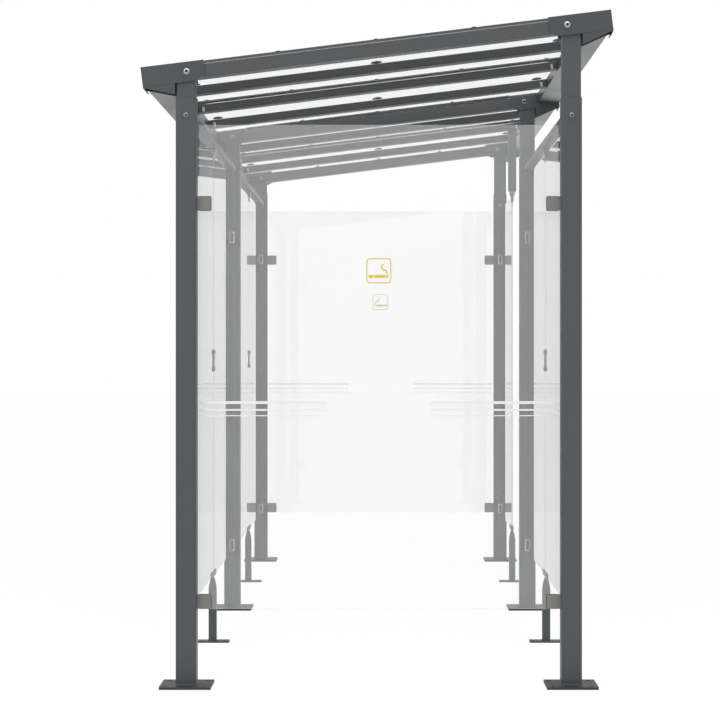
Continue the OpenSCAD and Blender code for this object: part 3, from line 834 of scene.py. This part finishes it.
# Marking on the glass: three frosted lines at waist height across both gables, broken in
# the middle, so that nobody walks into the pane, and a plain smoking sign in orange film.
# Both are self-adhesive film on the outer faces. On the far gable the film is painted paler
# and lets more through: painted light for its back, the face seen, which lies in shade.
film_thick = 0.4 * mm
film_gap = 0.05 * mm
line_levels = ((1106.5 * mm, 11 * mm), (1078 * mm, 7 * mm), (1055.5 * mm, 4 * mm))
line_inner = 202 * mm
line_outer = 700 * mm
line_corner = 1.5 * mm
sign_level = 1621 * mm
side_sign_y = -830 * mm
sign_size = 98 * mm
sign_line = 4.5 * mm
sign_corner = 15 * mm
sign_inner_corner = 10 * mm
sign_bars = ((-40 * mm, -21 * mm), (-18 * mm, 25 * mm), (28 * mm, 36 * mm))
sign_bar_y = -22 * mm
sign_bar_height = 12 * mm
curl_y = -13 * mm
curl_foot = (29 * mm, 34 * mm)
curl = (
    (32, -7, 2.6), (29.5, -1.5, 2.9), (24, 2, 3.1), (17, 5, 3.2), (11.5, 9.5, 3.2),
    (9.5, 15.5, 3.0), (11.5, 21.5, 2.6), (17, 25.5, 2.0), (23, 27.5, 1.2),
)


def film_finish(name, tone, tone_light, cover):
    """Self-adhesive film: cover is the share of what lies behind that it hides."""
    finish, tree, shader, place = new_finish(name)
    mottle = put(tree, "TexNoise", Vector=place, Scale=60.0, Detail=3.0)
    tone = two_tone(tree, mottle.outputs["Fac"], tone, tone_light)
    tree.links.new(tone, shader.inputs["Base Color"])
    worn = put(tree, "MapRange", mottle.outputs["Fac"], 0.3, 0.7, 0.45, 0.6)
    tree.links.new(worn.outputs["Result"], shader.inputs["Roughness"])
    grain = put(tree, "TexNoise", Vector=place, Scale=800.0, Detail=2.0)
    relief = put(tree, "Bump", Height=grain.outputs["Fac"], Strength=0.1, Distance=0.1 * mm)
    tree.links.new(relief.outputs["Normal"], shader.inputs["Normal"])
    shader.inputs["Alpha"].default_value = cover
    return finish


def add_film(bm, low_x, high_x, low_z, high_z, corner):
    """A strip of film standing on the plane Y = 0, with its thickness towards -Y."""
    strip = bmesh.ops.create_cube(bm, size=1)["verts"]
    bmesh.ops.scale(bm, verts=strip, vec=(high_x - low_x, film_thick, high_z - low_z))
    bmesh.ops.translate(
        bm, verts=strip, vec=((low_x + high_x) / 2, -film_thick / 2, (low_z + high_z) / 2)
    )
    ends = [e for e in edges_of(strip) if e.verts[0].co.y != e.verts[1].co.y]
    bmesh.ops.bevel(
        bm, geom=ends, offset=corner, segments=3, profile=0.5, affect="EDGES", material=-1
    )


def gable_lines():
    """The lines across one gable, drawn about its middle."""
    bm = bmesh.new()
    for level, thick in line_levels:
        for low_x, high_x in ((-line_outer, -line_inner), (line_inner, line_outer)):
            add_film(bm, low_x, high_x, level - thick / 2, level + thick / 2, line_corner)
    return bm


def smoking_sign():
    """A round-cornered frame round a cigarette with a curl of smoke over its lit end."""
    bm = bmesh.new()
    outer = rounded_loop(bm, sign_size, sign_corner, steps=6)
    inner = rounded_loop(bm, sign_size - 2 * sign_line, sign_inner_corner, steps=6)
    bmesh.ops.bridge_loops(bm, edges=outer + inner)
    start = [bm.verts.new((x, curl_y, 0)) for x in curl_foot]
    row = [bm.edges.new(start)]
    middle = (start[0].co + start[1].co) / 2
    for x, y, half in curl:
        swept = bmesh.ops.extrude_edge_only(bm, edges=row)["geom"]
        ends = of_kind(swept, bmesh.types.BMVert)
        row = of_kind(swept, bmesh.types.BMEdge)
        place = Vector((x * mm, y * mm, 0))
        off = (place - middle).cross(Vector((0, 0, 1))).normalized() * half * mm
        first = min(ends, key=lambda v: (v.co - (middle - off)).length)
        for vert in ends:
            vert.co = place - off if vert is first else place + off
        middle = place
    for low_x, high_x in sign_bars:
        bar = bmesh.ops.create_grid(bm, x_segments=1, y_segments=1, size=0.5)["verts"]
        bmesh.ops.scale(bm, verts=bar, vec=(high_x - low_x, sign_bar_height, 1))
        bmesh.ops.translate(bm, verts=bar, vec=((low_x + high_x) / 2, sign_bar_y, 0))
    bmesh.ops.recalc_face_normals(bm, faces=bm.faces)
    bmesh.ops.reverse_faces(bm, faces=[f for f in bm.faces if f.normal.z < 0])
    bmesh.ops.solidify(bm, geom=bm.faces[:], thickness=film_thick)
    return bm


frosted = film_finish("frosted_film", (0.715, 0.715, 0.715, 1), (0.765, 0.765, 0.765, 1), 0.95)
orange = film_finish("orange_film", (0.58, 0.46, 0.03, 1), (0.66, 0.54, 0.05, 1), 0.9)
# The far gable's films are painted paler and clearer: painted light on their shaded backs.
frost_painted_light = film_finish("frosted_film_painted_light", (0.92, 0.92, 0.92, 1), (0.95, 0.95, 0.95, 1), 0.4)
orange_painted_light = film_finish("orange_film_painted_light", (0.94, 0.76, 0.14, 1), (0.96, 0.80, 0.20, 1), 0.75)
gable_x = centre("gable_glass_near").x
near_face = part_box("gable_glass_near")[0].y - film_gap
far_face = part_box("gable_glass_far")[1].y + film_gap
side_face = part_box("glass_low_2")[0].x - film_gap
half_turn = Matrix.Rotation(math.pi, 4, "Z")
quarter_turn = Matrix.Rotation(-math.pi / 2, 4, "Z")
lines = set_out(gable_lines(), [Matrix.Translation((gable_x, near_face, 0))])
finished(lines, "gable_lines", frosted)
lines = set_out(gable_lines(), [Matrix.Translation((gable_x, far_face, 0)) @ half_turn])
finished(lines, "far_gable_lines", frost_painted_light)
signs = set_out(smoking_sign(), [
    Matrix.Translation((gable_x, near_face, sign_level)) @ toward_near,
    Matrix.Translation((side_face, side_sign_y, sign_level)) @ quarter_turn @ toward_near,
])
finished(signs, "smoking_signs", orange)
far_sign = set_out(smoking_sign(), [
    Matrix.Translation((gable_x, far_face, sign_level)) @ half_turn @ toward_near
])
finished(far_sign, "far_smoking_sign", orange_painted_light)


# Joint plates: two small plates, one on each face of the glass, that hold neighbouring
# panes in line at half height. Cone nuts clamp them, each with a hexagon key hole.
joint_low, joint_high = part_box("joint_plates")
nut_drop = 12 * mm
nut_face = 12.3 * mm
ring_radius = 5.2 * mm
ring_rise = 0.6 * mm
key_radius = 3.4 * mm
key_depth = 0.5 * mm
dress(fitting_coat, "joint_plates")


def key_hole():
    """A small dark hexagon cup let into a ring."""
    bm = bmesh.new()
    rim = bmesh.ops.create_circle(bm, segments=24, radius=ring_radius)["verts"]
    raised = Matrix.Translation((0, 0, ring_rise))
    key = bmesh.ops.create_circle(bm, segments=6, radius=key_radius, matrix=raised)["verts"]
    rim_edges, key_edges = edges_of(rim), edges_of(key)
    bmesh.ops.bridge_loops(bm, edges=rim_edges + key_edges)
    sunk = bmesh.ops.extrude_edge_only(bm, edges=key_edges)["geom"]
    bmesh.ops.translate(bm, verts=of_kind(sunk, bmesh.types.BMVert), vec=(0, 0, -key_depth))
    bmesh.ops.contextual_create(bm, geom=of_kind(sunk, bmesh.types.BMEdge))
    return bm


key_places = []
for side, bays in (("low", (-1, 1)), ("high", (-1,))):
    for bay in bays:
        for face in (-1, 1):
            for level in (joint_low.z + nut_drop, joint_high.z - nut_drop):
                place = (posts[side, "mid"].x + face * nut_face, bay * bay_length / 2, level)
                turn = Matrix.Rotation(face * math.pi / 2, 4, "Y")
                key_places.append(Matrix.Translation(place) @ turn)
finished(set_out(key_hole(), key_places), "joint_key_holes", dull_zinc_and_shade)


# Feet: a plate and a square tube with a pointed, rounded top, welded to a shoe that takes
# the lower edges of two panes on a rubber bed. Each tube is welded to its plate.
foot_plate_top = 8 * mm
foot_tube = 35 * mm
foot_corner = 3 * mm
foot_bead_width = 3.5 * mm
dress(steel_coat, "feet_low", "feet_high")
foot_places = [
    Matrix.Translation((posts[side, "mid"].x, bay * bay_length / 2, foot_plate_top))
    for side in side_names for bay in (-1, 1)
]
# The foot welds take the same near-black coat: painted shade where tube meets plate.
welds = set_out(weld_ring(foot_tube, foot_corner, foot_bead_width), foot_places)
finished(welds, "foot_welds", weld_shade_coat)


# Studio: a white floor that melts into an even white surround. One broad soft lamp hangs
# over the near bay and points straight down, and a weaker one stands off the near left
# corner. The camera looks straight along the shelter from outside its near gable.
floor_half = 60
floor_drop = 0.5 * mm
floor_glow = 0.94
surround_dim = 0.7


def seen_share(tree):
    """1 for what is looked at, straight, mirrored or through glass, and 0 for light on it."""
    ray = tree.nodes.new("ShaderNodeLightPath").outputs
    seen = put(
        tree, "Math", ray["Is Camera Ray"], ray["Is Glossy Ray"], options={"operation": "MAXIMUM"}
    )
    seen = put(
        tree, "Math", seen.outputs[0], ray["Is Transmission Ray"], options={"operation": "MAXIMUM"}
    )
    return seen.outputs[0]


floor_mesh = bmesh.new()
bmesh.ops.create_grid(floor_mesh, x_segments=1, y_segments=1, size=floor_half)
bmesh.ops.translate(floor_mesh, verts=floor_mesh.verts, vec=(0, 0, -floor_drop))
mesh = bpy.data.meshes.new("floor")
floor_mesh.to_mesh(mesh)
floor_mesh.free()
floor = bpy.data.objects.new("floor", mesh)
bpy.context.scene.collection.objects.link(floor)
paint = bpy.data.materials.new("floor_paint")
paint.use_nodes = True
tree = paint.node_tree
tree.nodes.clear()
share = put(tree, "Math", seen_share(tree), floor_glow, options={"operation": "MULTIPLY"})
matt = put(tree, "BsdfDiffuse", Color=(0.95, 0.95, 0.95, 1))
glow = put(tree, "Emission", Color=(1, 1, 1, 1), Strength=1.0)
both = put(tree, "MixShader", share.outputs[0], matt.outputs[0], glow.outputs[0])
put(tree, "OutputMaterial", both.outputs[0])
mesh.materials.append(paint)

surround = bpy.data.worlds.new("surround")
surround.use_nodes = True
bpy.context.scene.world = surround
tree = surround.node_tree
tree.nodes.clear()
level = put(tree, "MapRange", seen_share(tree), 0.0, 1.0, surround_dim, 1.0)
sky = put(tree, "Background", (1, 1, 1, 1), level.outputs["Result"])
put(tree, "OutputWorld", sky.outputs[0])

for name, place, aim, size, power in (
    ("softbox", (0, -3.5, 6.5), (0, -3.5, 0), 7, 420),
    ("side_lamp", (-5, -8, 4), (0, 0, 1.2), 3, 60),
):
    lamp_data = bpy.data.lights.new(name, "AREA")
    lamp_data.energy = power
    lamp_data.size = size
    lamp = bpy.data.objects.new(name, lamp_data)
    lamp.location = place
    lamp.rotation_euler = (Vector(aim) - Vector(place)).to_track_quat("-Z", "Y").to_euler()
    bpy.context.scene.collection.objects.link(lamp)

camera_data = bpy.data.cameras.new("camera")
camera_data.lens = 105.24
camera_data.shift_x = -0.03226
camera_data.shift_y = -0.0094
camera_data.clip_end = 200
camera = bpy.data.objects.new("camera", camera_data)
camera.location = (0.0241, -10.7203, 1.2992)
camera.rotation_euler = (math.radians(90), 0, 0)
bpy.context.scene.collection.objects.link(camera)
bpy.context.scene.camera = camera
bpy.context.scene.view_settings.view_transform = "Standard"
